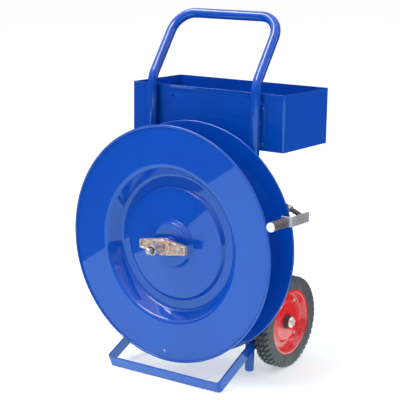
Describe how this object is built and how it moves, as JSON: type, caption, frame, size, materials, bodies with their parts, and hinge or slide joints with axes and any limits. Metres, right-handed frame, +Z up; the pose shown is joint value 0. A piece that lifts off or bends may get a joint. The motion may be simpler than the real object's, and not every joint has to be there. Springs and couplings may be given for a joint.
{
  "type": "strapping coil dispenser cart",
  "caption": "Two-wheeled hand cart with a bent-tube handle, a braked reel between dished discs clamped by a wing nut, a strap guide roller and an open tool tray.",
  "frame": {"origin": "on the floor, under the middle of the whole object's box", "axes": "+X to the operator's right, +Y to the rear (wheels and tray), +Z up; the mast and reel lean back from +Z by 2.7 degrees"},
  "size_m": [0.6274, 0.4768, 0.9128],
  "materials": {
    "blue_paint": "glossy royal blue powder coat",
    "zinc_steel": "bright zinc plate on turned steel",
    "bright_cap": "polished plated caps",
    "cast_nut": "cast, warm nickel-zinc plate, slightly uneven",
    "bar_steel": "satin grey plated flat bar",
    "black_steel": "blackened steel, oiled",
    "brake_lining": "moulded friction lining",
    "roller_plastic": "dark brown-grey turned plastic",
    "bronze_bush": "plain bearing bronze",
    "wheel_nylon": "dark grey nylon",
    "red_paint": "glossy red enamel on pressed steel",
    "tyre_rubber": "dark grey treaded rubber"
  },
  "bodies": {
    "frame": {"mast_tube": "blue_paint", "post_plugs": "blue_paint", "spindle_crossbar": "blue_paint", "spindle": "zinc_steel", "rear_thrust_washer": "zinc_steel", "front_thrust_washer": "zinc_steel", "circlip": "black_steel", "spindle_washer": "zinc_steel", "spindle_nut": "zinc_steel", "tray": "blue_paint", "tray_brackets": "blue_paint", "tray_bolts": "blue_paint", "tray_nuts": "zinc_steel", "foot_loop": "blue_paint", "axle_plates": "blue_paint", "axle": "zinc_steel", "axle_spacers": "zinc_steel", "axle_caps": "bright_cap", "pivot_bolt": "zinc_steel", "pivot_spacer": "zinc_steel", "pivot_nut": "zinc_steel", "spring_lug": "blue_paint"},
    "reel": {"hub_tube": "zinc_steel", "rear_bush": "bronze_bush", "front_bush": "bronze_bush", "rear_disc": "blue_paint", "brake_drum": "blue_paint"},
    "front_flange": {"front_disc": "blue_paint", "front_boss": "blue_paint", "clamp_washer": "zinc_steel"},
    "clamp_nut": {"wing_nut": "cast_nut"},
    "brake_arm": {"pivot_sleeve": "black_steel", "arm_rod": "black_steel", "rod_collar": "black_steel", "guide_bar": "bar_steel", "roller_pin": "zinc_steel", "roller_spacer": "zinc_steel", "roller_cap": "bright_cap", "brake_lever": "bar_steel", "brake_shoe": "bar_steel", "brake_pad": "brake_lining", "brake_spring": "black_steel"},
    "roller": {"guide_roller": "roller_plastic"},
    "left_wheel": {"left_tyre": "tyre_rubber", "left_outer_rim": "red_paint", "left_inner_rim": "red_paint", "left_wheel_hub": "red_paint", "left_wheel_bush": "wheel_nylon", "left_hub_seal": "wheel_nylon", "left_rim_rivets": "zinc_steel"},
    "right_wheel": {"right_tyre": "tyre_rubber", "right_outer_rim": "red_paint", "right_inner_rim": "red_paint", "right_wheel_hub": "red_paint", "right_wheel_bush": "wheel_nylon", "right_hub_seal": "wheel_nylon", "right_rim_rivets": "zinc_steel"}
  },
  "joints": [
    {"name": "reel_spin", "type": "hinge", "parent": "frame", "child": "reel", "pos_m": [-0.00875, -0.09942, 0.34582], "axis": [0, -0.9989, 0.0471], "continuous": true},
    {"name": "flange_slide", "type": "slide", "parent": "reel", "child": "front_flange", "axis": [0, -0.9989, 0.0471], "range_m": [0, 0.03]},
    {"name": "nut_spin", "type": "hinge", "parent": "front_flange", "child": "clamp_nut", "pos_m": [-0.00875, -0.16265, 0.3488], "axis": [0, -0.9989, 0.0471], "range_deg": [0, 2165]},
    {"name": "brake_arm_pivot", "type": "hinge", "parent": "frame", "child": "brake_arm", "pos_m": [0.15125, -0.02332, 0.50541], "axis": [0, -0.9989, 0.0471], "range_deg": [0, 12], "stiffness_Nm_per_rad": 2, "springref_deg": -20.05, "deforming": ["brake_spring"]},
    {"name": "guide_roller_spin", "type": "hinge", "parent": "brake_arm", "child": "roller", "pos_m": [0.29625, -0.12308, 0.43854], "axis": [0, -0.9989, 0.0471], "continuous": true},
    {"name": "left_wheel_spin", "type": "hinge", "parent": "frame", "child": "left_wheel", "pos_m": [-0.21525, 0.07211, 0.1205], "axis": [1, 0, 0], "continuous": true},
    {"name": "right_wheel_spin", "type": "hinge", "parent": "frame", "child": "right_wheel", "pos_m": [0.19775, 0.07211, 0.1205], "axis": [1, 0, 0], "continuous": true}
  ],
  "couplings": [
    {"joint": "nut_spin", "follows": "flange_slide", "rad_per_m": 1256.6}
  ]
}
